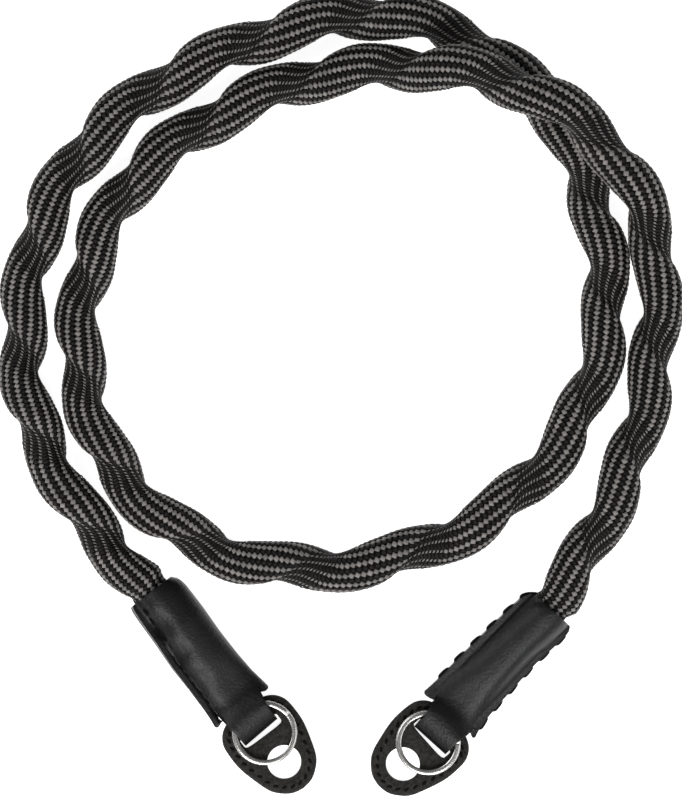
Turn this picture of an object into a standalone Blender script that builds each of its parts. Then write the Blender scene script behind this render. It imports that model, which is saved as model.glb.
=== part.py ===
"""A camera strap lying loosely coiled on a table.

The strap is one thick woven rope with a leather sleeve stitched round each end. A
narrow tongue of each sleeve folds round a steel split ring and through the slot of
an oval leather tab. X is right and Y is up as the strap is seen from above, +Z is
up, and the strap lies on the surface z = 0. Sizes are in millimetres.
"""

import math

import bmesh
import bpy
import numpy as np
from mathutils import Matrix, Vector

MM = 0.001

for old in list(bpy.data.objects):
    bpy.data.objects.remove(old, do_unlink=True)


# Helpers

def material(name, colour, roughness, metallic=0.0):
    made = bpy.data.materials.new(name)
    made.use_nodes = True
    shader = made.node_tree.nodes["Principled BSDF"]
    shader.inputs["Base Color"].default_value = (*colour, 1.0)
    shader.inputs["Roughness"].default_value = roughness
    shader.inputs["Metallic"].default_value = metallic
    return made


def add_object(name, bm, finish):
    """Makes an object of a bmesh that is drawn in millimetres."""
    bmesh.ops.recalc_face_normals(bm, faces=bm.faces)
    bmesh.ops.scale(bm, vec=(MM, MM, MM), verts=bm.verts)
    mesh = bpy.data.meshes.new(name)
    bm.to_mesh(mesh)
    bm.free()
    mesh.materials.append(finish)
    mesh.shade_smooth()
    mesh.set_sharp_from_angle(angle=math.radians(35))
    piece = bpy.data.objects.new(name, mesh)
    bpy.context.collection.objects.link(piece)
    return piece


def bridge(bm, ring_a, ring_b):
    """Joins two rings of as many points with four-sided faces."""
    count = len(ring_a)
    for k in range(count):
        bm.faces.new((ring_a[k], ring_a[(k + 1) % count], ring_b[(k + 1) % count], ring_b[k]))


def loft(bm, rings, start_cap=True, end_cap=True):
    """Skins rings of points into a tube, and returns its first and last ring."""
    rows = [[bm.verts.new(point) for point in ring] for ring in rings]
    for before, after in zip(rows, rows[1:]):
        bridge(bm, before, after)
    if start_cap:
        bm.faces.new(rows[0])
    if end_cap:
        bm.faces.new(rows[-1])
    return rows[0], rows[-1]


def prism(outline, low, high):
    """A plate of an outline of (x, y) points between two heights."""
    bm = bmesh.new()
    loft(bm, [[(x, y, z) for x, y in outline] for z in (low, high)])
    return bm


def boolean(piece, cutter, operation):
    cutter.hide_render = True
    cutter.display_type = "WIRE"
    step = piece.modifiers.new(operation.lower(), "BOOLEAN")
    step.operation = operation
    step.object = cutter
    step.solver = "EXACT"


def smooth_through(values, places):
    """Reads a natural cubic curve, which passes through rows 0, 1, 2 ... of values."""
    values = np.array(values, float)
    count = len(values)
    system = np.eye(count)
    right_side = np.zeros_like(values)
    for i in range(1, count - 1):
        system[i, i - 1:i + 2] = (1, 4, 1)
        right_side[i] = 6 * (values[i + 1] - 2 * values[i] + values[i - 1])
    bend = np.linalg.solve(system, right_side)
    row = np.clip(places.astype(int), 0, count - 2)
    after = (places - row)[:, None]
    before = 1 - after
    return (before * values[row] + after * values[row + 1]
            + (before ** 3 - before) * bend[row] / 6 + (after ** 3 - after) * bend[row + 1] / 6)


black_leather = material("black_leather", (0.032, 0.032, 0.033), 0.5)
woven_yarn = material("woven_yarn", (0.045, 0.04, 0.038), 0.85)
bright_steel = material("bright_steel", (0.72, 0.71, 0.69), 0.25, 1.0)


# Rope: it is twisted, so that a puffed bulge and a narrow sunken neck wind round it
# like a left-handed thread. One row for each turn of the twist, at the place where
# the neck crosses the rope's top.
TWIST_TURNS = [
    # x, y, height of the rope's middle
    (-31.2, -80.7, 4.2),
    (-48.7, -58.2, 7),
    (-67.0, -37.9, 7.15),
    (-82.5, -12.3, 7.15),
    (-87.9, 13.0, 7.15),
    (-84.6, 40.3, 7.15),
    (-72.8, 64.8, 7.15),
    (-51.5, 84.5, 7.15),
    (-24.6, 97.6, 7.15),
    (4.3, 104.6, 7.15),
    (32.1, 99.1, 7.15),
    (57.0, 79.2, 7.15),
    (68.3, 55.5, 7.15),
    (72.8, 28.4, 7.15),
    (67.3, -0.4, 7.15),
    (49.9, -25.3, 7.15),
    (22.5, -42.0, 7.15),
    (-9.9, -47.4, 7.15),
    (-39.5, -40.0, 7.15),
    (-61.5, -20.8, 7.15),
    (-71.3, 4.8, 7.15),
    (-70.6, 31.2, 7.15),
    (-59.8, 55.9, 7.15),
    (-38.5, 74.3, 7.15),
    (-11.6, 86.4, 7.6),
    (16.4, 90.1, 12.4),
    (43.4, 86.2, 21.3),
    (69.6, 71.0, 20.2),
    (85.2, 44.3, 11.1),
    (86.3, 14.6, 7.15),
    (80.6, -13.5, 7.15),
    (68.7, -40.3, 7.15),
    (52.4, -63.8, 6.9),
    (33.8, -84.2, 3.9),
]
# The section of the rope, from the neck's middle round to it again
ROPE_SECTION = [
    # share of a turn, distance from the rope's middle
    (0.00, 3.9),
    (0.04, 4.05),
    (0.08, 4.4),
    (0.11, 4.85),
    (0.14, 5.4),
    (0.18, 5.95),
    (0.23, 6.4),
    (0.30, 6.85),
    (0.38, 7.05),
    (0.46, 6.95),
    (0.55, 6.6),
    (0.65, 6.15),
    (0.75, 5.45),
    (0.83, 4.7),
    (0.90, 4.15),
    (0.95, 3.95),
]
ROPE_START = 0.37
LEFT_MOUTH_TURN = 1.24
RIGHT_MOUTH_TURN = 31.74
ROPE_END = 32.57
SQUEEZE_TURNS = 0.12
MOUTH_RADIUS = 4.9
CRIMPED_RADIUS = 3.2
RINGS_PER_TURN = 10
ROPE_SIDES = 12


def section_radius(share):
    """The twisted rope's radius at a share of a turn past the neck's middle."""
    shares = [row[0] for row in ROPE_SECTION] + [1.0]
    radii = [row[1] for row in ROPE_SECTION] + [ROPE_SECTION[0][1]]
    return float(np.interp(share % 1.0, shares, radii))


def rope_radius(turn, share):
    """Inside a sleeve the rope is squeezed round, and crimped towards its end."""
    left_depth = (LEFT_MOUTH_TURN - turn) / (LEFT_MOUTH_TURN - ROPE_START)
    right_depth = (turn - RIGHT_MOUTH_TURN) / (ROPE_END - RIGHT_MOUTH_TURN)
    depth = max(left_depth, right_depth, 0.0)
    outside = min(abs(turn - LEFT_MOUTH_TURN), abs(turn - RIGHT_MOUTH_TURN)) / SQUEEZE_TURNS
    squeezed = 1.0 if depth > 0 else max(0.0, 1.0 - outside)
    round_radius = MOUTH_RADIUS + (CRIMPED_RADIUS - MOUTH_RADIUS) * depth
    return squeezed * round_radius + (1 - squeezed) * section_radius(share)


def rope_rings():
    count = round((ROPE_END - ROPE_START) * RINGS_PER_TURN) + 1
    turns = np.linspace(ROPE_START, ROPE_END, count)
    middles = smooth_through(TWIST_TURNS, turns)
    ways = np.gradient(middles, axis=0)
    rings = []
    for turn, middle, way in zip(turns.tolist(), middles, ways):
        way = Vector(way).normalized()
        left = Vector((-way.y, way.x, 0)).normalized()
        up = way.cross(left)
        ring = []
        for k in range(ROPE_SIDES):
            share = k / ROPE_SIDES
            angle = 2 * math.pi * (turn + 0.25 - share)
            radius = rope_radius(turn, share)
            ring.append(Vector(middle) + radius * (math.sin(angle) * up - math.cos(angle) * left))
        rings.append(ring)
    return rings


rope_mesh = bmesh.new()
loft(rope_mesh, rope_rings())
add_object("rope", rope_mesh, woven_yarn)


# Leather sleeves: two panels stitched along both edges round the rope's end, and a
# narrow tongue that runs on from them in a loop. Along a sleeve, x is the distance
# from its mouth, y is to the left and z is up.
SLEEVE_STATIONS = [
    # from the mouth, half width, flange width, half thickness, height of the middle
    (0.0, 7.4, 0.4, 6.9, 7.2),
    (3.0, 7.9, 0.9, 6.8, 7.2),
    (12.0, 8.3, 1.6, 6.2, 6.6),
    (20.0, 8.4, 1.9, 5.4, 5.7),
    (26.0, 8.6, 1.9, 4.8, 5.0),
    (31.5, 9.0, 1.9, 3.6, 4.2),
    (36.5, 9.4, 1.9, 2.8, 3.7),
    (39.2, 9.7, 1.9, 3.0, 3.5),
    (40.6, 9.7, 1.9, 3.0, 3.5),
]
FLANGE_THICKNESS = 2.5
POCKET_STATIONS = [
    # from the mouth, radius
    (0.0, 5.8),
    (12.0, 5.0),
    (24.5, 3.9),
]
SECTION_POINTS = 13
# The tongue's middle line from the front panel round the fold to the back panel
TONGUE_LINE = [
    # from the mouth, height
    (36.5, 4.6),
    (39.0, 6.1),
    (41.2, 6.95),
    (43.6, 6.95),
    (45.7, 6.45),
    (47.4, 5.4),
    (48.4, 4.1),
    (48.75, 2.8),
    (48.5, 1.6),
    (47.8, 0.85),
    (46.3, 0.6),
    (37.0, 0.6),
]
LEATHER = 1.2
TONGUE_HALF_WIDTH = 5.6
THROAT_HALF_WIDTH = 6.6
THROAT_START = 38.9


def sleeve_ring(distance, half_width, flange, half_thickness, middle, roll):
    """One section of the sleeve: a puffed middle between two flat sewn flanges."""
    turn = Matrix.Rotation(math.radians(roll), 3, "X")
    flat = FLANGE_THICKNESS / 2
    puff_half = half_width - flange
    ring = []
    for side in (1, -1):
        for k in range(SECTION_POINTS):
            across = side * half_width * math.cos(math.pi * k / (SECTION_POINTS - 1))
            inside = math.sqrt(max(0.0, 1 - (across / puff_half) ** 2))
            up = side * (flat + (half_thickness - flat) * inside)
            ring.append(turn @ Vector((0, across, up)) + Vector((distance, 0, middle)))
    return ring


def pocket_ring(distance, radius, roll):
    columns = np.array(SLEEVE_STATIONS).T
    middle = float(np.interp(distance, columns[0], columns[-1]))
    steps = 2 * SECTION_POINTS
    ring = []
    for k in range(steps):
        angle = 2 * math.pi * (k + 0.5) / steps + math.radians(roll)
        ring.append(Vector((distance, radius * math.cos(angle), middle + radius * math.sin(angle))))
    return ring


def tongue_outline():
    """The looped tongue seen from its side: its middle line given a thickness."""
    line = [Vector(row) for row in TONGUE_LINE]
    outer = []
    inner = []
    for k, place in enumerate(line):
        way = (line[min(k + 1, len(line) - 1)] - line[max(k - 1, 0)]).normalized()
        normal = Vector((-way.y, way.x)) * LEATHER / 2
        outer.append(place + normal)
        inner.append(place - normal)
    return outer + inner[::-1]


def sleeve(name, mouth, heading, rolls):
    """rolls is the turn about the sleeve's own line, in degrees, at the mouth and at the end."""
    place = Matrix.Translation((*mouth, 0)) @ Matrix.Rotation(math.radians(heading), 4, "Z")
    length = SLEEVE_STATIONS[-1][0]
    body = bmesh.new()
    rings = []
    for row in SLEEVE_STATIONS:
        roll = rolls[0] + (rolls[1] - rolls[0]) * row[0] / length
        rings.append(sleeve_ring(*row, roll))
    outer_mouth, _ = loft(body, rings, start_cap=False)
    pocket = [pocket_ring(*row, rolls[0]) for row in POCKET_STATIONS]
    inner_mouth, _ = loft(body, pocket, start_cap=False)
    bridge(body, outer_mouth, inner_mouth)
    bmesh.ops.transform(body, matrix=place, verts=body.verts)
    piece = add_object(name, body, black_leather)

    throat_outline = [(THROAT_START, -THROAT_HALF_WIDTH), (length + 1, -THROAT_HALF_WIDTH),
                      (length + 1, THROAT_HALF_WIDTH), (THROAT_START, THROAT_HALF_WIDTH)]
    throat = prism(throat_outline, -1, 9)
    bmesh.ops.transform(throat, matrix=place, verts=throat.verts)
    boolean(piece, add_object(name + "_throat", throat, black_leather), "DIFFERENCE")

    tongue = bmesh.new()
    outline = tongue_outline()
    loft(tongue, [[(x, y, z) for x, z in outline] for y in (-TONGUE_HALF_WIDTH, TONGUE_HALF_WIDTH)])
    bmesh.ops.transform(tongue, matrix=place, verts=tongue.verts)
    boolean(piece, add_object(name + "_tongue", tongue, black_leather), "UNION")


LEFT_MOUTH = (-52.1, -53.6)
LEFT_HEADING = -52.5
RIGHT_MOUTH = (57.4, -58.4)
RIGHT_HEADING = -132.2
sleeve("left_sleeve", LEFT_MOUTH, LEFT_HEADING, (-32.0, -3.0))
sleeve("right_sleeve", RIGHT_MOUTH, RIGHT_HEADING, (-8.0, -2.0))


# Ring tabs: oval leather tabs with a slot for the tongue and a round hole. A tab is
# drawn with the hole's centre at the origin and its round end towards +X.
TAB_OUTLINE = [
    # from the hole's centre, half width
    (-18.6, 0.0),
    (-18.4, 4.0),
    (-17.6, 7.2),
    (-16.0, 9.4),
    (-13.5, 10.8),
    (-10.0, 11.15),
    (-5.5, 10.9),
    (0.0, 9.5),
    (4.3, 7.9),
    (6.9, 5.6),
    (8.5, 3.1),
    (9.1, 0.0),
]
TAB_THICKNESS = 2.0
TAB_BEVEL = 0.3
HOLE_RADIUS = 4.7
SLOT_START = -12.5
SLOT_END = -8.5
SLOT_HALF_LENGTH = 6.3
# The bar above the slot lies on the back of the tongue, and the round end on the table
BAR_PLACE = -15.0
BAR_HEIGHT = 1.7
TAB_TILT = math.degrees(math.asin(BAR_HEIGHT / (TAB_OUTLINE[-1][0] - BAR_PLACE)))


def on_tab(hole, heading):
    """The frame of a tilted tab, whose underside is its plane z = 0."""
    return (Matrix.Translation((*hole, 0)) @ Matrix.Rotation(math.radians(heading), 4, "Z")
            @ Matrix.Translation((BAR_PLACE, 0, BAR_HEIGHT))
            @ Matrix.Rotation(math.radians(TAB_TILT), 4, "Y")
            @ Matrix.Translation((-BAR_PLACE, 0, 0)))


def ring_tab(name, place):
    half = smooth_through(TAB_OUTLINE, np.linspace(0, len(TAB_OUTLINE) - 1, 2 * len(TAB_OUTLINE) - 1))
    outline = [(x, y) for x, y in half] + [(x, -y) for x, y in half[-2:0:-1]]
    plate = prism(outline, 0, TAB_THICKNESS)
    rims = [e for e in plate.edges if abs(e.verts[0].co.z - e.verts[1].co.z) < 1e-6]
    bmesh.ops.bevel(plate, geom=rims, offset=TAB_BEVEL, affect="EDGES", segments=1, profile=0.5, material=-1)
    bmesh.ops.transform(plate, matrix=place, verts=plate.verts)
    piece = add_object(name, plate, black_leather)

    hole = bmesh.new()
    bmesh.ops.create_cone(hole, cap_ends=True, segments=24, radius1=HOLE_RADIUS, radius2=HOLE_RADIUS, depth=8)
    bmesh.ops.transform(hole, matrix=place, verts=hole.verts)
    boolean(piece, add_object(name + "_hole", hole, black_leather), "DIFFERENCE")

    slot_outline = [(SLOT_START, -SLOT_HALF_LENGTH), (SLOT_END, -SLOT_HALF_LENGTH),
                    (SLOT_END, SLOT_HALF_LENGTH), (SLOT_START, SLOT_HALF_LENGTH)]
    slot = prism(slot_outline, -2, 4)
    bmesh.ops.transform(slot, matrix=place, verts=slot.verts)
    boolean(piece, add_object(name + "_slot", slot, black_leather), "DIFFERENCE")


# Split rings: each lies on its tab, with its far side held in the tongue's loop
RING_RADIUS = 9.0
RING_BAND = 1.5
RING_THICKNESS = 1.4
RING_CORNER = 0.35
RING_GAP = 0.3
RING_SEGMENTS = 36


def split_ring(name, place, centre):
    half_band = RING_BAND / 2
    half_thick = RING_THICKNESS / 2
    section = []
    for side, end in ((1, 1), (-1, 1), (-1, -1), (1, -1)):
        corners = [(side * half_band, end * (half_thick - RING_CORNER)),
                   (side * (half_band - RING_CORNER), end * half_thick)]
        section += corners if side * end > 0 else corners[::-1]
    middle_radius = RING_RADIUS - half_band
    height = TAB_THICKNESS + RING_GAP + half_thick
    bm = bmesh.new()
    rows = []
    for k in range(RING_SEGMENTS):
        angle = 2 * math.pi * k / RING_SEGMENTS
        rows.append([bm.verts.new((centre[0] + (middle_radius + out) * math.cos(angle),
                                   centre[1] + (middle_radius + out) * math.sin(angle),
                                   height + up)) for out, up in section])
    for k in range(RING_SEGMENTS):
        bridge(bm, rows[k], rows[(k + 1) % RING_SEGMENTS])
    bmesh.ops.transform(bm, matrix=place, verts=bm.verts)
    add_object(name, bm, bright_steel)


LEFT_HOLE = (-15.9, -100.9)
LEFT_TAB_HEADING = -53.1
RIGHT_HOLE = (16.9, -101.5)
RIGHT_TAB_HEADING = -138.3
for side, hole_place, heading, ring_centre in (
    ("left", LEFT_HOLE, LEFT_TAB_HEADING, (-9.8, 0.6)),
    ("right", RIGHT_HOLE, RIGHT_TAB_HEADING, (-9.3, 0.2)),
):
    tab_place = on_tab(hole_place, heading)
    ring_tab(side + "_ring_tab", tab_place)
    split_ring(side + "_split_ring", tab_place, ring_centre)
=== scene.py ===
import math

import bmesh
import bpy
import numpy as np
from mathutils import Matrix, Vector


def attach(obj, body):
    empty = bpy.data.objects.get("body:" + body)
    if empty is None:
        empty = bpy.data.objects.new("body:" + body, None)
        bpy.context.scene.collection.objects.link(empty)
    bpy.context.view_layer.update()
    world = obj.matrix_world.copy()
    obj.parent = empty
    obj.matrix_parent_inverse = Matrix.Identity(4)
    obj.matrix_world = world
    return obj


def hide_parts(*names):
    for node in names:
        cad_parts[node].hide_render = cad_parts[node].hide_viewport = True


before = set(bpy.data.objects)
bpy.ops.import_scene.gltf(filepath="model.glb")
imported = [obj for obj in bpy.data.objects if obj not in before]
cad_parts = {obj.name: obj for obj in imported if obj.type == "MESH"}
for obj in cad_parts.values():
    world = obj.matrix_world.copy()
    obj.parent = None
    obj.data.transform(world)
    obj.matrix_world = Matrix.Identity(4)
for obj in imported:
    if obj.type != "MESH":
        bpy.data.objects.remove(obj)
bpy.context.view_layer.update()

MM = 0.001


# Camera and light: the strap lies on a white table and is seen from straight above
# through a long lens. A wide soft lamp stands past the strap's ends, where the
# leather has its sheen, and two weaker ones stand to its left and right.
PHOTO_ROWS = 797
MM_PER_PIXEL = 0.275
PHOTO_MIDDLE = (-0.2, -0.7)
CAMERA_HEIGHT = 1600
ROPE_HEIGHT = 7
LAMP_SIZE = 0.9

lens = bpy.data.cameras.new("camera")
lens.sensor_width = 36
lens.sensor_fit = "AUTO"
lens.lens = lens.sensor_width * (CAMERA_HEIGHT - ROPE_HEIGHT) / (PHOTO_ROWS * MM_PER_PIXEL)
camera = bpy.data.objects.new("camera", lens)
camera.location = Vector((*PHOTO_MIDDLE, CAMERA_HEIGHT)) * MM
bpy.context.collection.objects.link(camera)
bpy.context.scene.camera = camera


def soft_lamp(name, place, watts):
    lamp = bpy.data.lights.new(name, "AREA")
    lamp.shape = "DISK"
    lamp.size = LAMP_SIZE
    lamp.energy = watts
    stand = bpy.data.objects.new(name, lamp)
    stand.location = place
    stand.rotation_euler = (-Vector(place)).to_track_quat("-Z", "Y").to_euler()
    bpy.context.collection.objects.link(stand)


soft_lamp("near_lamp", (-0.1, -0.95, 0.95), 18)
soft_lamp("left_lamp", (-0.95, 0.35, 0.85), 8)
soft_lamp("right_lamp", (0.95, -0.45, 0.85), 4.5)

SKY_LIGHT = 0.16
sky = bpy.data.worlds.new("studio")
sky.use_nodes = True
sky.node_tree.nodes["Background"].inputs["Color"].default_value = (0.92, 0.95, 1.0, 1)
sky.node_tree.nodes["Background"].inputs["Strength"].default_value = SKY_LIGHT
bpy.context.scene.world = sky
bpy.context.scene.view_settings.view_transform = "Standard"


def plain_material(name, colour, roughness, metallic=0.0, specular=0.5):
    made = bpy.data.materials.new(name)
    made.use_nodes = True
    shader = made.node_tree.nodes["Principled BSDF"]
    shader.inputs["Base Color"].default_value = (*colour, 1)
    shader.inputs["Roughness"].default_value = roughness
    shader.inputs["Metallic"].default_value = metallic
    shader.inputs["Specular IOR Level"].default_value = specular
    return made


TABLE_GLOW = 0.9
TABLE_HALF = 6
TABLE_DROP = 0.0003
table_mesh = bmesh.new()
bmesh.ops.create_grid(table_mesh, x_segments=1, y_segments=1, size=TABLE_HALF)
bmesh.ops.translate(table_mesh, vec=(0, 0, -TABLE_DROP), verts=table_mesh.verts)
table = bpy.data.objects.new("table_top", bpy.data.meshes.new("table_top"))
table_mesh.to_mesh(table.data)
table_mesh.free()
table_top = plain_material("lit_table", (0.9, 0.9, 0.9), 0.9)
table_shader = table_top.node_tree.nodes["Principled BSDF"]
table_shader.inputs["Emission Color"].default_value = (1, 1, 1, 1)
table_shader.inputs["Emission Strength"].default_value = TABLE_GLOW
table.data.materials.append(table_top)
bpy.context.collection.objects.link(table)


# Rope: a round braid of black and grey yarn, twisted hard, so that it puffs up between
# narrow necks which wind round it as a left-handed thread. It lies in almost two turns
# and passes over itself once, at the upper right.
TWIST_TURNS = [
    # x, y, height of the rope's middle, in mm, where the neck crosses the rope's top
    (-31.2, -80.7, 4.2),
    (-48.7, -58.2, 7),
    (-67.0, -37.9, 7.15),
    (-82.5, -12.3, 7.15),
    (-87.9, 13.0, 7.15),
    (-84.6, 40.3, 7.15),
    (-72.8, 64.8, 7.15),
    (-51.5, 84.5, 7.15),
    (-24.6, 97.6, 7.15),
    (4.3, 104.6, 7.15),
    (32.1, 99.1, 7.15),
    (57.0, 79.2, 7.15),
    (68.3, 55.5, 7.15),
    (72.8, 28.4, 7.15),
    (67.3, -0.4, 7.15),
    (49.9, -25.3, 7.15),
    (22.5, -42.0, 7.15),
    (-9.9, -47.4, 7.15),
    (-39.5, -40.0, 7.15),
    (-61.5, -20.8, 7.15),
    (-71.3, 4.8, 7.15),
    (-70.6, 31.2, 7.15),
    (-59.8, 55.9, 7.15),
    (-38.5, 74.3, 7.15),
    (-11.6, 86.4, 7.6),
    (16.4, 90.1, 12.4),
    (43.4, 86.2, 21.3),
    (69.6, 71.0, 20.2),
    (85.2, 44.3, 11.1),
    (86.3, 14.6, 7.15),
    (80.6, -13.5, 7.15),
    (68.7, -40.3, 7.15),
    (52.4, -63.8, 6.9),
    (33.8, -84.2, 3.9),
]
ROPE_SECTION = [
    # share of a twist turn past the neck's middle, distance from the rope's middle
    (0.00, 3.9),
    (0.04, 4.05),
    (0.08, 4.4),
    (0.11, 4.85),
    (0.14, 5.4),
    (0.18, 5.95),
    (0.23, 6.4),
    (0.30, 6.85),
    (0.38, 7.05),
    (0.46, 6.95),
    (0.55, 6.6),
    (0.65, 6.15),
    (0.75, 5.45),
    (0.83, 4.7),
    (0.90, 4.15),
    (0.95, 3.95),
    (1.00, 3.9),
]
ROPE_FROM = 0.6
ROPE_TO = 32.3
LEFT_MOUTH_TURN = 1.24
RIGHT_MOUTH_TURN = 31.74
MOUTH_BLEND = 0.12
MOUTH_RADIUS = 5.35
INNER_TAPER = 2.2
TURN_LENGTH = 29.2
WAY_STEP = 0.01
RIGHT_TO_TOP = 0.25

# The braid's grey lines: each winds a little round the rope, most of it in the necks
GREY_LINES = 13
LINE_WANDER = [
    # share of a twist turn, how far a line has gone round the rope, in degrees
    (0.15, 0.0),
    (0.35, 0.5),
    (0.50, 2.5),
    (0.64, 4.0),
    (0.72, 2.5),
    (0.80, -3.5),
    (0.88, -10.5),
    (0.96, -17.5),
    (1.03, -21.0),
    (1.08, -18.5),
    (1.12, -14.5),
    (1.15, -12.0),
]
DRIFT_PER_TURN = -LINE_WANDER[-1][1]
LINE_STEP = (360 - DRIFT_PER_TURN) / GREY_LINES
FIRST_LINE = 7.0


def smooth_through(values, places):
    """Reads a natural cubic curve, which passes through rows 0, 1, 2 ... of values."""
    values = np.array(values, float)
    count = len(values)
    system = np.eye(count)
    right_side = np.zeros_like(values)
    for i in range(1, count - 1):
        system[i, i - 1:i + 2] = (1, 4, 1)
        right_side[i] = 6 * (values[i + 1] - 2 * values[i] + values[i - 1])
    bend = np.linalg.solve(system, right_side)
    row = np.clip(places.astype(int), 0, count - 2)
    after = (places - row)[..., None]
    before = 1 - after
    return (before * values[row] + after * values[row + 1]
            + (before ** 3 - before) * bend[row] / 6 + (after ** 3 - after) * bend[row + 1] / 6)


def smooth_step(share):
    share = np.clip(share, 0, 1)
    return share * share * (3 - 2 * share)


def line_angle(line, share):
    """Where a line of the braid is round the rope, in degrees from its right side."""
    shares, wander = np.array(LINE_WANDER).T
    turns = np.floor(share - shares[0])
    wandered = np.interp(share - turns, shares, wander)
    return FIRST_LINE + LINE_STEP * line - DRIFT_PER_TURN * turns + wandered


def rope_radius(turn, share):
    shares, radii = np.array(ROPE_SECTION).T
    radius = np.interp(share % 1, shares, radii)
    inside = np.maximum(LEFT_MOUTH_TURN - turn, turn - RIGHT_MOUTH_TURN)
    held = smooth_step(1 + inside / MOUTH_BLEND)
    return radius * (1 - held) + (MOUTH_RADIUS - INNER_TAPER * np.clip(inside, 0, 1)) * held


def rope_point(turn, angle, radius):
    """A point at an angle in degrees round the rope, as seen along its way."""
    middle = smooth_through(TWIST_TURNS, turn)
    ahead = smooth_through(TWIST_TURNS, turn + WAY_STEP)
    way = ahead - smooth_through(TWIST_TURNS, turn - WAY_STEP)
    way /= np.linalg.norm(way, axis=-1, keepdims=True)
    left = np.stack([-way[..., 1], way[..., 0], np.zeros(turn.shape)], axis=-1)
    left /= np.linalg.norm(left, axis=-1, keepdims=True)
    up = np.cross(way, left)
    angle = np.radians(angle)[..., None]
    return middle + radius[..., None] * (np.sin(angle) * up - np.cos(angle) * left)


def on_line(line, share, lift):
    """A point on a line of the braid, at its share count from the strap's start."""
    angle = line_angle(line, share)
    turn = share - RIGHT_TO_TOP + angle / 360
    return rope_point(turn, angle, rope_radius(turn, share) + lift)


def flat_grid(across, along):
    """A grid to lay to shape, with each point's place in it from 0 to 1."""
    bm = bmesh.new()
    bmesh.ops.create_grid(bm, x_segments=across, y_segments=along, size=0.5)
    places = np.array([vert.co for vert in bm.verts]) + 0.5
    return bm, places[:, 0], places[:, 1]


def lay(bm, points):
    for vert, point in zip(bm.verts, points * MM):
        vert.co = point


def finish_piece(name, bm, material, slot, *nodes):
    """Turns a bmesh in metres into a piece that rides with the strap."""
    mesh = bpy.data.meshes.new(name)
    bm.to_mesh(mesh)
    bm.free()
    return finish_mesh(name, mesh, material, slot, *nodes)


def finish_mesh(name, mesh, material, slot, *nodes):
    mesh.materials.append(material)
    mesh.shade_smooth()
    piece = bpy.data.objects.new(name, mesh)
    bpy.context.collection.objects.link(piece)
    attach(piece, "root")
    if nodes:
        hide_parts(*nodes)
    return piece


def add_node(material, kind, links=(), **settings):
    """Adds a shader node; links are (output socket, input name) pairs."""
    node = material.node_tree.nodes.new(kind)
    for key, value in settings.items():
        if hasattr(node, key):
            setattr(node, key, value)
        else:
            node.inputs[key.replace("_", " ")].default_value = value
    for output, key in links:
        material.node_tree.links.new(output, node.inputs[key])
    return node


def roughen(material, fineness, depth, spread=0.5):
    """Gives a material a fine bump from noise on its own coordinates."""
    place = add_node(material, "ShaderNodeTexCoord").outputs["Object"]
    noise = add_node(material, "ShaderNodeTexNoise", [(place, "Vector")], Scale=fineness, Detail=4.0,
                     Roughness=spread)
    bump = add_node(material, "ShaderNodeBump", [(noise.outputs["Fac"], "Height")], Strength=1.0,
                    Distance=depth)
    shader = material.node_tree.nodes["Principled BSDF"]
    material.node_tree.links.new(bump.outputs["Normal"], shader.inputs["Normal"])
    return noise


def colour_between(material, share, dark, light):
    """Colours a material between two tones, by a socket that gives the share of the light one."""
    mix = add_node(material, "ShaderNodeMix", [(share, 0)], data_type="RGBA")
    mix.inputs[6].default_value = (*dark, 1)
    mix.inputs[7].default_value = (*light, 1)
    shader = material.node_tree.nodes["Principled BSDF"]
    material.node_tree.links.new(mix.outputs[2], shader.inputs["Base Color"])


def close_tube(bm):
    """Welds the seam of a grid laid round to a tube, fills its ends and turns its faces out."""
    bmesh.ops.remove_doubles(bm, verts=bm.verts, dist=WELD)
    bmesh.ops.holes_fill(bm, edges=[e for e in bm.edges if e.is_boundary], sides=0)
    bmesh.ops.recalc_face_normals(bm, faces=bm.faces)


black_core = plain_material("black_core", (0.005, 0.0045, 0.004), 0.8, specular=0.12)
roughen(black_core, 3500, 0.0002)
COLUMNS_PER_LINE = 4
RINGS_PER_TURN = 32
CORE_DEPTH = 0.35
NECK_RIB = 0.22
RIB_REACH = 0.32
RIB_FADE = 0.12
SETTLING_ROUNDS = 12
SEAM_SHARE = 1e-6
WELD = 1e-6

rings = round((ROPE_TO - ROPE_FROM) * RINGS_PER_TURN)
core, column, along = flat_grid(GREY_LINES * COLUMNS_PER_LINE, rings)
core_line = column * GREY_LINES
core_turn = ROPE_FROM + along * (ROPE_TO - ROPE_FROM)
core_share = core_turn.copy()
wrapped_line = np.where(column > 1 - SEAM_SHARE, 0, core_line)
for _ in range(SETTLING_ROUNDS):
    core_share = core_turn + RIGHT_TO_TOP - line_angle(wrapped_line, core_share) / 360
core_angle = line_angle(wrapped_line, core_share)
between_lines = 0.5 - 0.5 * np.cos(2 * math.pi * wrapped_line)
in_neck = smooth_step((RIB_REACH - np.abs((core_share + 0.5) % 1 - 0.5)) / RIB_FADE)
core_radius = rope_radius(core_turn, core_share) - CORE_DEPTH + NECK_RIB * between_lines * in_neck
lay(core, rope_point(core_turn, core_angle, core_radius))
close_tube(core)
rope_core = finish_piece("rope_core", core, black_core, "woven_yarn", "rope")

ROUTE_POINTS = 380
route_turns = np.linspace(ROPE_FROM, ROPE_TO, ROUTE_POINTS)
route = smooth_through(TWIST_TURNS, route_turns) * MM


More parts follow.
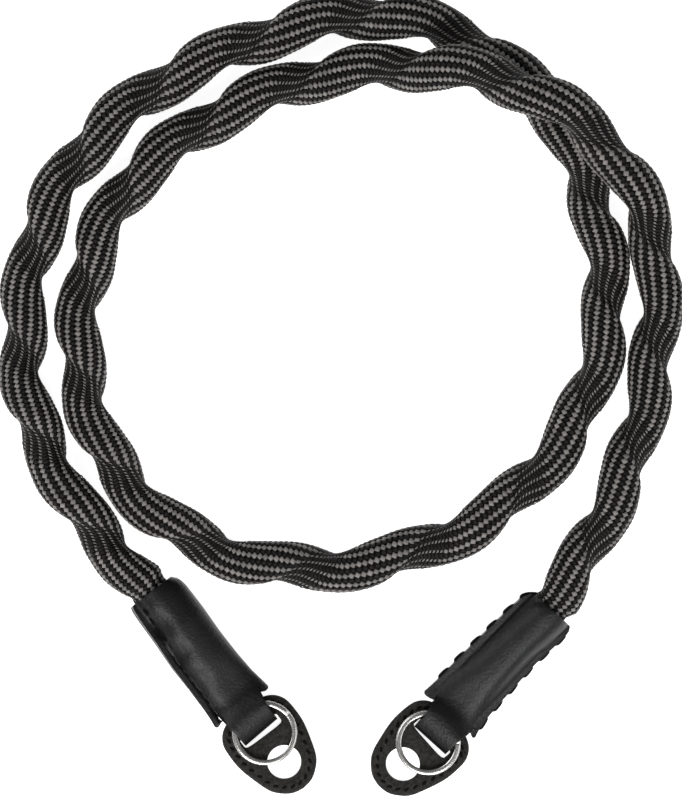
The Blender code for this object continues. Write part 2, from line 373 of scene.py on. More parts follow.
# Grey and black yarns: the braid's outer yarns show as rows of small puffed floats.
# In the bulges the grey ones are wide and touch in a row; in the necks they shrink to
# slanted dashes between ribs of fine black braid.
STITCH_SIZES = [
    # share past the neck, pitch, grey length, grey width, slant, black length, black width
    (0.00, 1.08, 1.05, 0.36, 52, 1.15, 2.3),
    (0.115, 1.08, 1.05, 0.36, 52, 1.15, 2.3),
    (0.13, 1.40, 1.55, 1.85, 10, 1.5, 1.5),
    (0.20, 1.46, 1.60, 2.00, 8, 1.55, 1.65),
    (0.50, 1.46, 1.60, 2.00, 8, 1.55, 1.65),
    (0.68, 1.40, 1.50, 1.80, 12, 1.5, 1.6),
    (0.75, 1.30, 1.25, 1.20, 20, 1.35, 1.7),
    (0.80, 1.12, 1.05, 0.42, 48, 1.15, 2.1),
    (1.00, 1.08, 1.05, 0.36, 52, 1.15, 2.3),
]
SLANT_COLUMN = 3
GREY_SIZES = (1, 2)
BLACK_SIZES = (4, 5)
NECK_END = 0.125
MIDDLE_LINE = 7
LINE_HALVES = {"_a": range(MIDDLE_LINE), "_b": range(MIDDLE_LINE, GREY_LINES)}
FLOAT_RINGS = [
    # a float's rings as shares of its half sizes, and their heights as shares of its own
    (1.0, -0.1),
    (0.64, 0.75),
]
FLOAT_BOTTOM = -0.5
FLOAT_TOP = 1.0
LENGTH_SPREAD = (0.94, 1.06)
WIDTH_SPREAD = (0.92, 1.06)
FULL_HEIGHT_HALF = 0.6
LEAST_HEIGHT = 0.5
SIDE_LEAN = 0.6
STAGGER = 0.9
YARN_SINK = 0.2
YARN_TUCK = 0.1
YARN_SEED = 7


def stitch_sizes(share):
    rows = np.array(STITCH_SIZES).T
    return [np.interp(share % 1, rows[0], row) for row in rows[1:]]


def stitch_shares():
    """The shares at which one turn's stitches sit, from the end of the neck on."""
    shares = [NECK_END]
    while shares[-1] < NECK_END + 1:
        shares.append(shares[-1] + float(stitch_sizes(np.array(shares[-1]))[0]) / TURN_LENGTH)
    shares = np.array(shares)
    return NECK_END + (shares[:-1] - NECK_END) / (shares[-1] - NECK_END)


def puffed_float(corners):
    """The shape of a small puffed float and its faces, as numbers of its corners."""
    sides = len(corners)
    around = 2 * math.pi * np.arange(sides) / sides
    shape = [(0.0, 0.0, FLOAT_BOTTOM)]
    shape += [(size * reach * math.cos(angle), size * reach * math.sin(angle), height)
              for size, height in FLOAT_RINGS for angle, reach in zip(around, corners)]
    shape += [(0.0, 0.0, FLOAT_TOP)]
    low = 1 + np.arange(sides)
    high = low + sides
    turned = np.roll(np.arange(sides), -1)
    triangles = [(0, low[b], low[a]) for a, b in enumerate(turned)]
    triangles += [(len(shape) - 1, high[a], high[b]) for a, b in enumerate(turned)]
    squares = [(low[a], low[b], high[b], high[a]) for a, b in enumerate(turned)]
    return np.array(shape), np.array(triangles), np.array(squares)


def joined_copies(name, points, triangles, squares):
    """A mesh of many copies of one shape, whose points are in mm, copy by copy."""
    first = (np.arange(len(points)) * points.shape[1])[:, None, None]
    faces = (first + triangles).reshape(-1, 3).tolist()
    faces += (first + squares).reshape(-1, 4).tolist()
    mesh = bpy.data.meshes.new(name)
    mesh.from_pydata((points.reshape(-1, 3) * MM).tolist(), [], faces)
    return mesh


def yarn_floats(name, corners, offset, lean, puff, lift, size_columns, material):
    """Lays puffed floats along the braid's lines, as two pieces with half of the lines each."""
    random = np.random.default_rng(YARN_SEED)
    shape, triangles, squares = puffed_float(corners)
    every_turn = np.arange(-1, len(TWIST_TURNS) + 1)
    every_share = (every_turn[:, None] + stitch_shares()[None, :]).ravel()
    pieces = []
    for half, lines in LINE_HALVES.items():
        line, share = np.meshgrid(np.array(lines) + offset, every_share, indexing="ij")
        line = line.ravel()
        share = share.ravel() + offset * STAGGER / TURN_LENGTH
        turn = share - RIGHT_TO_TOP + line_angle(line, share) / 360
        shown = (turn > LEFT_MOUTH_TURN - YARN_TUCK) & (turn < RIGHT_MOUTH_TURN + YARN_TUCK)
        line, share, turn = line[shown], share[shown], turn[shown]
        sizes = stitch_sizes(share)
        count = len(line)
        long = sizes[size_columns[0]] / 2 * random.uniform(*LENGTH_SPREAD, count)
        wide = sizes[size_columns[1]] / 2 * random.uniform(*WIDTH_SPREAD, count)
        tall = puff * np.clip(np.minimum(long, wide) / FULL_HEIGHT_HALF, LEAST_HEIGHT, 1)
        tilt = np.radians(sizes[SLANT_COLUMN])[:, None] * lean
        flat_x = long[:, None] * shape[None, :, 0]
        flat_y = wide[:, None] * shape[None, :, 1]
        x = flat_x - np.tan(tilt) * flat_y * SIDE_LEAN
        y = flat_y + np.sin(tilt) * flat_x
        d_line = y / (rope_radius(turn, share)[:, None] * math.radians(LINE_STEP))
        d_share = x / TURN_LENGTH - d_line * LINE_STEP / 360
        up = lift + tall[:, None] * shape[None, :, 2]
        points = on_line(line[:, None] + d_line, share[:, None] + d_share, up - YARN_SINK)
        mesh = joined_copies(name + half, points, triangles, squares)
        tones = np.repeat(random.uniform(0, 1, count), len(shape))
        mesh.attributes.new("tone", "FLOAT", "POINT").data.foreach_set("value", tones)
        pieces.append(finish_mesh(name + half, mesh, material, "woven_yarn"))
    return pieces


def yarn_colour(material, dark, light):
    """Gives each float a colour between two tones, by its own number."""
    tone = add_node(material, "ShaderNodeAttribute", attribute_name="tone")
    colour_between(material, tone.outputs["Fac"], dark, light)


grey_yarn = plain_material("grey_yarn", (0.2, 0.19, 0.18), 0.65, specular=0.25)
yarn_colour(grey_yarn, (0.132, 0.124, 0.12), (0.215, 0.202, 0.193))
roughen(grey_yarn, 5200, 0.00012)
black_yarn = plain_material("black_yarn", (0.01, 0.009, 0.008), 0.65, specular=0.15)
yarn_colour(black_yarn, (0.0045, 0.0042, 0.004), (0.0105, 0.0088, 0.008))
roughen(black_yarn, 5200, 0.00012)

GREY_CORNERS = (1.12, 0.8) * 4
GREY_PUFF = 0.34
GREY_LIFT = 0.12
yarn_pieces = yarn_floats("grey_floats", GREY_CORNERS, 0, 1, GREY_PUFF, GREY_LIFT, GREY_SIZES,
                          grey_yarn)

# The black floats lie midway between the grey lines and lean less
BLACK_CORNERS = (1.0,) * 6
BLACK_OFFSET = 0.5
BLACK_LEAN = 0.6
BLACK_PUFF = 0.3
BLACK_LIFT = 0.02
yarn_pieces += yarn_floats("black_floats", BLACK_CORNERS, BLACK_OFFSET, BLACK_LEAN, BLACK_PUFF,
                           BLACK_LIFT, BLACK_SIZES, black_yarn)


# Leather sleeves: each is one strip of thin leather round the rope's end, whose narrow
# tongue runs through the ring and the tab's slot and comes back below. The left one is
# folded along one side and sewn along the other, the right one bound along both.
SLEEVE_STATIONS = [
    # from the mouth, flange width, half thickness, height of the seam
    (0.0, 0.9, 6.9, 7.2),
    (3.0, 1.2, 6.8, 7.2),
    (12.0, 1.7, 6.2, 6.6),
    (20.0, 1.9, 5.4, 5.7),
    (26.0, 1.9, 4.8, 4.9),
    (31.5, 1.9, 3.6, 4.2),
    (36.5, 1.9, 2.8, 3.7),
    (41.4, 1.9, 3.0, 3.5),
]
LEFT_EDGES = [
    # from the mouth, the sewn edge, the folded edge
    (0.0, -7.8, 6.4),
    (0.9, -7.85, 7.4),
    (2.2, -7.95, 8.1),
    (4.0, -8.1, 8.5),
    (12.0, -8.3, 8.5),
    (20.0, -8.8, 8.1),
    (28.0, -8.7, 8.1),
    (34.0, -8.8, 8.4),
    (38.0, -9.0, 9.0),
    (41.4, -9.5, 9.5),
]
RIGHT_EDGES = [
    # from the mouth, upper edge, lower edge
    (0.0, -6.3, 7.4),
    (1.0, -7.3, 7.9),
    (2.5, -8.0, 8.1),
    (8.0, -8.5, 7.8),
    (14.0, -8.9, 7.2),
    (28.0, -9.6, 7.3),
    (34.0, -9.7, 7.5),
    (38.0, -10.0, 8.0),
    (41.4, -10.5, 9.0),
]
# The tongue's outer face, from the front panel's end round the fold to the back panel's
TONGUE_LINE = [
    # from the mouth, height
    (38.5, 6.45),
    (41.4, 7.4),
    (43.6, 7.5),
    (45.8, 7.0),
    (47.8, 5.85),
    (49.0, 4.3),
    (49.35, 2.8),
    (49.05, 1.3),
    (48.1, 0.35),
    (46.3, 0.08),
    (43.6, 0.08),
    (41.4, 0.1),
    (38.5, 0.75),
]
BODY_END = TONGUE_LINE[0][0]
TONGUE_HALF = 5.75
TONGUE_BLEND = 6.0
ROOT_FLARE = 1.0
ROOT_LENGTH = 8.0
SKEW_LENGTH = 8.0
LEATHER = 1.15
RIM_WIDTH = 0.3
RIM_CREASE = 50
SEAM_HALF = 1.25
PUFF_POWER = 2.3
PUFF_EDGE = 0.8
SIDE_COLUMNS = 9
TONGUE_COLUMNS = 16
BODY_ROWS = 36
ROWS_PER_POINT = 4
NOTCH_START = 39.0
NOTCH_PULL = 0.6
CORNER_END = 41.4
CORNER_CUT = 1.3
CORNER_POWER = 6
CORNER_REACH = 3
ROW_SLACK = 0.01
SEWN_MARGIN = 0.6
SEAM_INSET = 2.25
GROOVE_WIDTH = 0.5
SEAM_GROOVE = 0.65


def sleeve_place(mouth, heading):
    return Matrix.Translation((*mouth, 0)) @ Matrix.Rotation(math.radians(heading), 4, "Z")


def edge_across(edges, distance, side):
    """Where an edge of the sleeve lies; side is -1 or 1."""
    outline = np.array(edges).T
    return np.interp(distance, outline[0], outline[1 if side < 0 else 2])


def station(distance, column):
    stations = np.array(SLEEVE_STATIONS).T
    return np.interp(distance, stations[0], stations[column])


def sleeve_height(distance, across, edges, folded, puckers):
    """How far the leather's outer face lies from the seam's plane."""
    flange = station(distance, 1)
    thick = station(distance, 2)
    edge = np.where(across < 0, -edge_across(edges, distance, -1), edge_across(edges, distance, 1))
    sewn = np.clip(np.abs(across) / (edge - flange - SEWN_MARGIN * folded), 0, 1)
    height = SEAM_HALF + (thick - SEAM_HALF) * (1 - sewn ** PUFF_POWER) ** PUFF_EDGE
    if folded:
        round_side = thick * np.sqrt(1 - np.clip(across / edge, 0, 1) ** PUFF_POWER)
        height = np.where(across > 0, round_side, height)
        sunk = np.exp(-((across + edge - SEAM_INSET) / GROOVE_WIDTH) ** 2)
        height = height - SEAM_GROOVE * sunk * (across < 0)
    for place, side, long, wide, depth in puckers:
        dent = np.exp(-((distance - place) / long) ** 2 - ((across - side) / wide) ** 2)
        height = height - depth * dent
    return height


def moved(points, place):
    """Moves points from a piece's own frame into the strap's."""
    matrix = np.array(place)
    return points @ matrix[:3, :3].T + matrix[:3, 3]


def on_seam(place, distance, across, height, roll):
    """Turns a place on a sleeve, measured from its seam's plane, into the strap's frame."""
    turn = np.radians(roll)
    side = across * np.cos(turn) - height * np.sin(turn)
    up = station(distance, 3) + across * np.sin(turn) + height * np.cos(turn)
    return moved(np.stack([distance, side, up], axis=-1), place)


def seam_roll(distance, rolls):
    return np.interp(distance, (0, CORNER_END), rolls)


def strip_rows():
    """The strip's rows from the front mouth to the back one: distance, height, in the loop."""
    body = np.linspace(0, BODY_END, BODY_ROWS)[:-1]
    steps = (len(TONGUE_LINE) - 1) * ROWS_PER_POINT
    loop = smooth_through(TONGUE_LINE, np.linspace(0, len(TONGUE_LINE) - 1, steps + 1))
    distance = np.concatenate([body, loop[:, 0], body[::-1]])
    height = np.concatenate([np.zeros_like(body), loop[:, 1], np.zeros_like(body)])
    in_loop = np.repeat([False, True, False], [len(body), len(loop), len(body)])
    return distance, height, in_loop


def cut_notches(bm, column, row_distance, columns):
    """Cuts away the leather beside the tongue, and the two notches at its root."""
    slits = {SIDE_COLUMNS - 1, columns - SIDE_COLUMNS}
    cut = []
    for face in bm.faces:
        corners = [vert.index for vert in face.verts]
        farthest = row_distance[corners].max()
        face_column = column[corners].min()
        beside = face_column < SIDE_COLUMNS or face_column >= columns - SIDE_COLUMNS
        if beside and farthest > CORNER_END + ROW_SLACK:
            cut.append(face)
        elif face_column in slits and farthest > NOTCH_START:
            cut.append(face)
    bmesh.ops.delete(bm, geom=cut, context="FACES")


def sleeve(name, place, edges, rolls, folded, skew, front_puckers, back_puckers):
    """Lays the strip to shape as one grid: its columns lie across, its rows along."""
    strip_distance, strip_height, strip_in_loop = strip_rows()
    count = len(strip_distance)
    columns = 2 * SIDE_COLUMNS + TONGUE_COLUMNS
    bm, column, row = flat_grid(columns, count - 1)
    column = np.rint(column * columns).astype(int)
    row = np.rint(row * (count - 1)).astype(int)
    distance = strip_distance[row]
    front = row < count / 2
    side = np.where(front, 1, -1)
    from_middle = column - columns / 2
    inner = np.abs(from_middle) <= TONGUE_COLUMNS / 2

    # The panels beside the tongue end in rounded corners
    out = np.clip((np.abs(from_middle) - TONGUE_COLUMNS / 2) / SIDE_COLUMNS, 0, 1)
    past = np.maximum(distance - NOTCH_START, 0)
    rounded = CORNER_CUT * out ** CORNER_POWER
    held = np.minimum(distance - past * NOTCH_PULL * (1 - out), CORNER_END)
    at_mouth = smooth_step(1 - held / CORNER_REACH)
    at_end = smooth_step((held - CORNER_END) / CORNER_REACH + 1)
    held = held + rounded * (at_mouth - at_end)
    held = np.where(inner, distance, held)
    right = edge_across(edges, held, -1)
    left = edge_across(edges, held, 1)
    half = TONGUE_HALF + ROOT_FLARE * smooth_step(1 - (distance - BODY_END) / ROOT_LENGTH)
    across = np.where(from_middle < 0, -half + (right + half) * out, half + (left - half) * out)
    across = np.where(inner, half * from_middle / (TONGUE_COLUMNS / 2), across)
    skewed = skew * across * smooth_step((distance - CORNER_END) / SKEW_LENGTH)
    held = held + np.where(inner, skewed, 0)

    # The tongue starts with the panels' height and passes over to its own loop
    over = np.where(inner, np.minimum(held, BODY_END), held)
    front_height = sleeve_height(over, across, edges, folded, front_puckers)
    back_height = sleeve_height(over, across, edges, folded, back_puckers)
    height = side * np.where(front, front_height, back_height)
    fade = smooth_step(1 - (distance - BODY_END) / TONGUE_BLEND)
    crown = station(BODY_END, 2)
    looped = strip_height[row] - station(held, 3) - (side * crown - height) * fade
    height = np.where(strip_in_loop[row] & inner, looped, height)
    roll = seam_roll(held, rolls) * np.where(inner, fade, 1)
    lay(bm, on_seam(place, held, across, height, roll))

    cut_notches(bm, column, distance, columns)
    bmesh.ops.reverse_faces(bm, faces=bm.faces)
    bmesh.ops.remove_doubles(bm, verts=bm.verts, dist=WELD)
    piece = finish_piece(name + "_leather", bm, black_leather, "black_leather", name)
    wall = piece.modifiers.new("wall", "SOLIDIFY")
    wall.thickness = LEATHER * MM
    wall.offset = -1
    wall.use_even_offset = True
    rim = piece.modifiers.new("rim", "BEVEL")
    rim.width = RIM_WIDTH * MM
    rim.segments = 2
    rim.limit_method = "ANGLE"
    rim.angle_limit = math.radians(RIM_CREASE)


black_leather = plain_material("black_leather", (0.003, 0.003, 0.0032), 0.36, specular=0.27)
roughen(black_leather, 1400, 0.0002, 0.62)
LEFT_SLEEVE = sleeve_place((-52.1, -53.6), -52.5)
RIGHT_SLEEVE = sleeve_place((57.4, -58.4), -132.2)
LEFT_ROLLS = (-20.0, -3.0)
RIGHT_ROLLS = (-8.0, -2.0)
LEFT_PUCKERS = [
    # from the mouth, across, length, width, depth
    (4.5, -4.6, 2.4, 1.6, -0.5),
    (9.5, -4.4, 2.6, 2.0, 0.85),
    (14.5, -5.0, 2.2, 1.6, -0.6),
    (18.5, -4.2, 2.4, 2.0, 0.75),
    (22.5, -5.4, 2.0, 1.4, -0.5),
    (27.5, -3.8, 2.6, 2.2, 0.6),
    (33.0, 1.5, 5.0, 3.5, 0.3),
    (36.5, -5.6, 1.5, 1.2, 0.6),
    (40.2, -7.6, 2.0, 1.8, -1.1),
]
RIGHT_PUCKERS = [
    # from the mouth, across, length, width, depth
    (18.0, -1.5, 16.0, 3.2, 0.35),
    (33.0, -2.0, 5.0, 4.0, 0.25),
]
LEFT_SKEW = -0.05
sleeve("left_sleeve", LEFT_SLEEVE, LEFT_EDGES, LEFT_ROLLS, True, LEFT_SKEW, LEFT_PUCKERS, [])
sleeve("right_sleeve", RIGHT_SLEEVE, RIGHT_EDGES, RIGHT_ROLLS, False, 0, RIGHT_PUCKERS, [])


# Thread on the sleeves: the left seam is sewn with a fine black thread that sinks into
# the leather. Along both edges of the right sleeve a thick braided thread loops between
# the two layers, and bulges out from one hole to the next.
THREAD_RINGS = 5
THREAD_SIDES = 8
THREAD_BLUNTNESS = 3


def thread_shape(sizes, turned):
    """A spindle of thread with these half sizes, turned by some degrees, and its faces."""
    lengthwise = np.linspace(-1, 1, THREAD_RINGS + 2)[1:-1]
    around = 2 * math.pi * np.arange(THREAD_SIDES) / THREAD_SIDES
    swell = (1 - np.abs(lengthwise) ** THREAD_BLUNTNESS) ** 0.5
    shape = [(-1.0, 0.0, 0.0)]
    shape += [(x, w * math.cos(a), w * math.sin(a)) for x, w in zip(lengthwise, swell) for a in around]
    shape += [(1.0, 0.0, 0.0)]
    shape = np.array(shape) * sizes
    turn = math.radians(turned)
    along = shape[:, 0] * math.cos(turn) - shape[:, 1] * math.sin(turn)
    across = shape[:, 0] * math.sin(turn) + shape[:, 1] * math.cos(turn)
    shape = np.stack([along, across, shape[:, 2]], axis=-1)
    side = np.arange(THREAD_SIDES)
    after = (side + 1) % THREAD_SIDES
    last = 1 + (THREAD_RINGS - 1) * THREAD_SIDES
    triangles = [(0, 1 + b, 1 + a) for a, b in zip(side, after)]
    triangles += [(len(shape) - 1, last + a, last + b) for a, b in zip(side, after)]
    squares = [(ring + a, ring + b, ring + THREAD_SIDES + b, ring + THREAD_SIDES + a)
               for ring in range(1, last, THREAD_SIDES) for a, b in zip(side, after)]
    return shape, np.array(triangles), np.array(squares)


def thread_loops(name, places, sizes, turned, to_frame, material):
    """Joins spindles of thread at these places, each as (along, across, up)."""
    shape, triangles, squares = thread_shape(sizes, turned)
    points = to_frame(np.array(places)[:, None, :] + shape[None, :, :])
    mesh = joined_copies(name, points, triangles, squares)
    return finish_mesh(name, mesh, material, "woven_yarn")


SEAM_PITCH = 3.0
SEAM_THREAD = (1.25, 0.4, 0.4)
SEAM_LEAN = 6
SEAM_FROM = 3.5
SEAM_TO = 38.5
BINDING_PITCH = 6.25
BINDING_THREAD = (2.45, 1.0, 1.0)
BINDING_LEAN = 4
BINDING_INSET = 0.25
BINDING_LIFT = 0.1
BINDING_LOOPS = 6
UPPER_FROM = 1.6
LOWER_FROM = 4.6
# Black thread for the seams and bindings; on the tabs' rims its darkness also stands for the shade in
# the stitch holes, as painted shade
black_thread_and_hole_shade = plain_material("black_thread_and_hole_shade", (0.0018, 0.0018, 0.0018), 0.75, specular=0.08)
roughen(black_thread_and_hole_shade, 3000, 0.00015)


def seam_frame(points):
    distance = points[..., 0]
    across = edge_across(LEFT_EDGES, distance, -1) + SEAM_INSET + points[..., 1]
    height = sleeve_height(distance, across, LEFT_EDGES, True, LEFT_PUCKERS) + points[..., 2]
    return on_seam(LEFT_SLEEVE, distance, across, height, seam_roll(distance, LEFT_ROLLS))


def binding_frame(side):
    def to_frame(points):
        distance = points[..., 0]
        across = edge_across(RIGHT_EDGES, distance, side) + side * (points[..., 1] - BINDING_INSET)
        return on_seam(RIGHT_SLEEVE, distance, across, points[..., 2], seam_roll(distance, RIGHT_ROLLS))
    return to_frame


def binding_places(start):
    return [(place, 0, BINDING_LIFT) for place in start + BINDING_PITCH * np.arange(BINDING_LOOPS)]


seam_places = [(place, 0, 0) for place in np.arange(SEAM_FROM, SEAM_TO, SEAM_PITCH)]
thread_loops("left_seam_thread", seam_places, SEAM_THREAD, SEAM_LEAN, seam_frame, black_thread_and_hole_shade)
thread_loops("right_upper_binding", binding_places(UPPER_FROM), BINDING_THREAD, BINDING_LEAN,
             binding_frame(-1), black_thread_and_hole_shade)
thread_loops("right_lower_binding", binding_places(LOWER_FROM), BINDING_THREAD, BINDING_LEAN,
             binding_frame(1), black_thread_and_hole_shade)


# Ring tabs: two layers of thick leather, cut to an egg shape with a slot and a round
# hole, and sewn together round the rim. Each lies under its ring, tilted a little where
# its bar rests on the sleeve's tongue.
TAB_OUTLINE = [
    # from the hole's centre, half width
    (-18.6, 0.0),
    (-18.4, 4.0),
    (-17.6, 7.2),
    (-16.0, 9.4),
    (-13.5, 10.8),
    (-10.0, 11.15),
    (-5.5, 10.9),
    (0.0, 9.5),
    (4.3, 7.9),
    (6.9, 5.6),
    (8.5, 3.1),
    (9.1, 0.0),
]
TAB_THICKNESS = 2.0
HOLE_RADIUS = 4.7
SLOT_MIDDLE = -10.75
SLOT_HALF = (1.75, 6.3)
BAR_PLACE = -15.0
BAR_HEIGHT = 1.7
TAB_TILT = math.asin(BAR_HEIGHT / (TAB_OUTLINE[-1][0] - BAR_PLACE))
RIM_POINTS = 120
FINE_STEPS = 400
GROOVE_INSET = 1.5
GROOVE_HALF = 0.4
GROOVE_DEPTH = 0.32
HOLE_SIDES = 48
SLOT_SIDES = 40
SLOT_SQUARENESS = 6
OPENING_MARGIN = 0.5
SHARP_ANGLE = 1.0
RIM_ROUNDING = 0.8
HOLE_ROUNDING = 0.3
RIM_PITCH = 2.95
RIM_THREAD = (0.95, 0.5, 0.3)
RIM_LEAN = 25
TAB_CREASE = 40


def on_tab(hole, heading):
    """The frame of a tilted tab, whose underside is its plane z = 0."""
    return (Matrix.Translation((*hole, 0)) @ Matrix.Rotation(math.radians(heading), 4, "Z")
            @ Matrix.Translation((BAR_PLACE, 0, BAR_HEIGHT)) @ Matrix.Rotation(TAB_TILT, 4, "Y")
            @ Matrix.Translation((-BAR_PLACE, 0, 0)))


def tab_rim(count):
    """Points at even steps round the tab's edge."""
    half = smooth_through(TAB_OUTLINE, np.linspace(0, len(TAB_OUTLINE) - 1, FINE_STEPS))
    whole = np.concatenate([half, half[-2:0:-1] * (1, -1)])
    gone = np.concatenate([[0], np.cumsum(np.linalg.norm(np.diff(whole, axis=0), axis=1))])
    places = np.linspace(0, gone[-1], count, endpoint=False)
    x = np.interp(places, gone, whole[:, 0])
    y = np.interp(places, gone, whole[:, 1])
    return np.stack([x, y], axis=-1)


def at_opening(edge):
    """Whether an edge of the plate belongs to its slot or its hole."""
    spot = edge.verts[0].co
    beside_slot = abs(spot.x - SLOT_MIDDLE) < SLOT_HALF[0] + OPENING_MARGIN
    in_slot = beside_slot and abs(spot.y) < SLOT_HALF[1] + OPENING_MARGIN
    in_hole = min(vert.co.xy.length for vert in edge.verts) < HOLE_RADIUS + OPENING_MARGIN
    return in_slot or in_hole


def tab_plate():
    """The flat tab in its own frame, in mm: grooved along the rim, pierced and rounded."""
    bm = bmesh.new()
    bmesh.ops.create_circle(bm, cap_ends=True, segments=RIM_POINTS, radius=1)
    for vert, point in zip(bm.verts, tab_rim(RIM_POINTS)):
        vert.co = (point[0], point[1], 0)
    middle, = bm.faces
    bmesh.ops.inset_region(bm, faces=[middle], thickness=GROOVE_INSET)
    bmesh.ops.inset_region(bm, faces=[middle], thickness=GROOVE_HALF)
    groove = {(round(v.co.x, 3), round(v.co.y, 3)) for v in middle.verts}
    bmesh.ops.inset_region(bm, faces=[middle], thickness=GROOVE_HALF)
    open_edges = dict.fromkeys(middle.edges)
    bmesh.ops.delete(bm, geom=[middle], context="FACES_ONLY")
    hole = bmesh.ops.create_circle(bm, segments=HOLE_SIDES, radius=HOLE_RADIUS)["verts"]
    slot = bmesh.ops.create_circle(bm, segments=SLOT_SIDES, radius=1)["verts"]
    for vert in slot:
        powers = abs(vert.co.x) ** SLOT_SQUARENESS + abs(vert.co.y) ** SLOT_SQUARENESS
        swell = powers ** (1 / SLOT_SQUARENESS)
        vert.co.x = SLOT_MIDDLE + SLOT_HALF[0] * vert.co.x / swell
        vert.co.y = SLOT_HALF[1] * vert.co.y / swell
    for vert in hole + slot:
        open_edges.update(dict.fromkeys(vert.link_edges))
    bmesh.ops.triangle_fill(bm, use_beauty=True, use_dissolve=False, edges=list(open_edges))
    bmesh.ops.recalc_face_normals(bm, faces=bm.faces)
    raised = bmesh.ops.extrude_face_region(bm, geom=bm.faces[:])["geom"]
    upper = [part for part in raised if isinstance(part, bmesh.types.BMVert)]
    bmesh.ops.translate(bm, vec=(0, 0, TAB_THICKNESS), verts=upper)
    bmesh.ops.recalc_face_normals(bm, faces=bm.faces)
    for vert in bm.verts:
        if (round(vert.co.x, 3), round(vert.co.y, 3)) in groove:
            vert.co.z += GROOVE_DEPTH if vert.co.z < TAB_THICKNESS / 2 else -GROOVE_DEPTH
    sharp = [e for e in bm.edges if len(e.link_faces) == 2 and e.calc_face_angle() > SHARP_ANGLE]
    inner = [edge for edge in sharp if at_opening(edge)]
    outer = [edge for edge in sharp if not at_opening(edge)]
    bmesh.ops.bevel(bm, geom=inner, offset=HOLE_ROUNDING, affect="EDGES", segments=2, profile=0.5,
                    material=-1)
    bmesh.ops.bevel(bm, geom=outer, offset=RIM_ROUNDING, affect="EDGES", segments=4, profile=0.5,
                    material=-1)
    return bm


def ring_tab(name, place):
    bm = tab_plate()
    bmesh.ops.transform(bm, matrix=Matrix.Scale(MM, 4) @ place, verts=bm.verts)
    piece = finish_piece(name + "_leather", bm, tab_leather, "black_leather", name)
    piece.data.set_sharp_from_angle(angle=math.radians(TAB_CREASE))

    rim_length = np.linalg.norm(np.diff(tab_rim(FINE_STEPS), axis=0), axis=1).sum()
    rim = tab_rim(round(rim_length / RIM_PITCH))
    ahead = np.roll(rim, -1, axis=0) - np.roll(rim, 1, axis=0)
    ahead /= np.linalg.norm(ahead, axis=1)[:, None]
    inward = np.stack([ahead[:, 1], -ahead[:, 0]], axis=-1)
    middles = rim + inward * (GROOVE_INSET + GROOVE_HALF)

    def rim_frame(points):
        flat = middles[:, None, :] + ahead[:, None, :] * points[..., :1]
        flat = flat - inward[:, None, :] * points[..., 1:2]
        solid = np.concatenate([flat, TAB_THICKNESS - GROOVE_DEPTH + points[..., 2:]], axis=-1)
        return moved(solid, place)

    # The rim stitches take the black thread, whose darkness here is painted shade in the holes where
    # the thread dives
    stitches = np.zeros((len(rim), 3))
    thread_loops(name + "_thread", stitches, RIM_THREAD, RIM_LEAN, rim_frame, black_thread_and_hole_shade)


# The leather's mottled grain with painted shade: its colour follows the same noise as its bump, darker
# in the pores and lighter on the crests between them
SHADED_PORE_TONE = (0.0035, 0.0031, 0.0028)
LIT_CREST_TONE = (0.024, 0.022, 0.0195)
tab_leather = plain_material("tab_leather", (0.0135, 0.0123, 0.0115), 0.6, specular=0.17)
grain = roughen(tab_leather, 1100, 0.00035, 0.7)
spread = add_node(tab_leather, "ShaderNodeMapRange", [(grain.outputs["Fac"], "Value")],
                  From_Min=0.36, From_Max=0.64)
colour_between(tab_leather, spread.outputs["Result"], SHADED_PORE_TONE, LIT_CREST_TONE)

LEFT_TAB_HEADING = -53.1
RIGHT_TAB_HEADING = -138.3
LEFT_TAB = on_tab((-15.9, -100.9), LEFT_TAB_HEADING)
RIGHT_TAB = on_tab((16.9, -101.5), RIGHT_TAB_HEADING)
ring_tab("left_ring_tab", LEFT_TAB)
ring_tab("right_ring_tab", RIGHT_TAB)


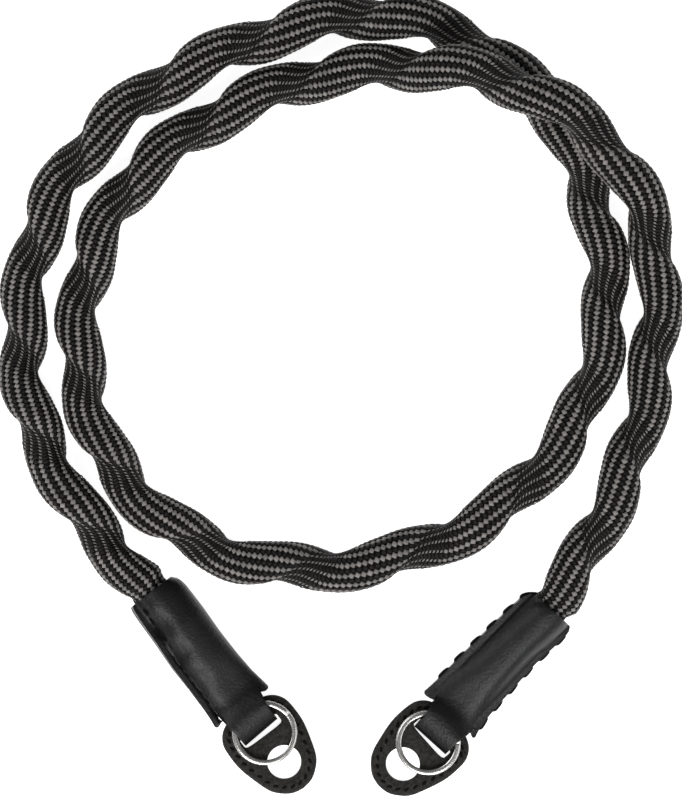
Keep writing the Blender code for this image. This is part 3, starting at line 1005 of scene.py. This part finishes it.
# Split rings: springy steel wire pressed flat, wound in two coils that lie on each
# other. The wire's upper end shows as a small step in the ring.
RING_RADIUS = 9.0
RING_BAND = 1.5
COIL_THICKNESS = 0.68
COIL_RISE = 0.72
RING_GAP = 0.3
RING_SECTION = 14
RING_STEPS = 180
STEP_ANGLE = 24.0
COIL_OFFSET = 0.07
COILS = 2
FLAT_POWER = 0.65
ROUND_POWER = 0.8
RING_CREASE = 50
# The rings' middles in their tabs' frames, and in degrees where the wires' upper ends lie
LEFT_RING_MIDDLE = (-9.8, 0.6)
RIGHT_RING_MIDDLE = (-9.3, 0.2)
LEFT_WIRE_END = 38
RIGHT_WIRE_END = -2


def split_ring(name, place, centre, end_angle):
    """end_angle is where the upper end lies, in degrees in the tab's frame."""
    bm, section, along = flat_grid(RING_SECTION, RING_STEPS)
    around = 2 * math.pi * section
    angle = 360 * COILS * along
    climbed = smooth_step((angle - 360 + STEP_ANGLE / 2) / STEP_ANGLE)
    out = np.cos(around)
    up = np.sin(around)
    out = np.sign(out) * np.abs(out) ** FLAT_POWER * RING_BAND / 2
    up = np.sign(up) * np.abs(up) ** ROUND_POWER * COIL_THICKNESS / 2
    radius = RING_RADIUS - COIL_OFFSET - RING_BAND / 2 + COIL_OFFSET * (1 - 2 * climbed) + out
    way = np.radians(end_angle + angle)
    x = centre[0] + radius * np.cos(way)
    y = centre[1] + radius * np.sin(way)
    lowest = TAB_THICKNESS + RING_GAP + COIL_THICKNESS / 2
    local = np.stack([x, y, lowest + COIL_RISE * climbed + up], axis=-1)
    lay(bm, moved(local, place))
    close_tube(bm)
    piece = finish_piece(name + "_coils", bm, bright_steel, "bright_steel", name)
    piece.data.set_sharp_from_angle(angle=math.radians(RING_CREASE))


bright_steel = plain_material("bright_steel", (0.5, 0.485, 0.465), 0.26, metallic=1.0)
roughen(bright_steel, 2500, 0.00002)
split_ring("left_split_ring", LEFT_TAB, LEFT_RING_MIDDLE, LEFT_WIRE_END - LEFT_TAB_HEADING)
split_ring("right_split_ring", RIGHT_TAB, RIGHT_RING_MIDDLE, RIGHT_WIRE_END - RIGHT_TAB_HEADING)
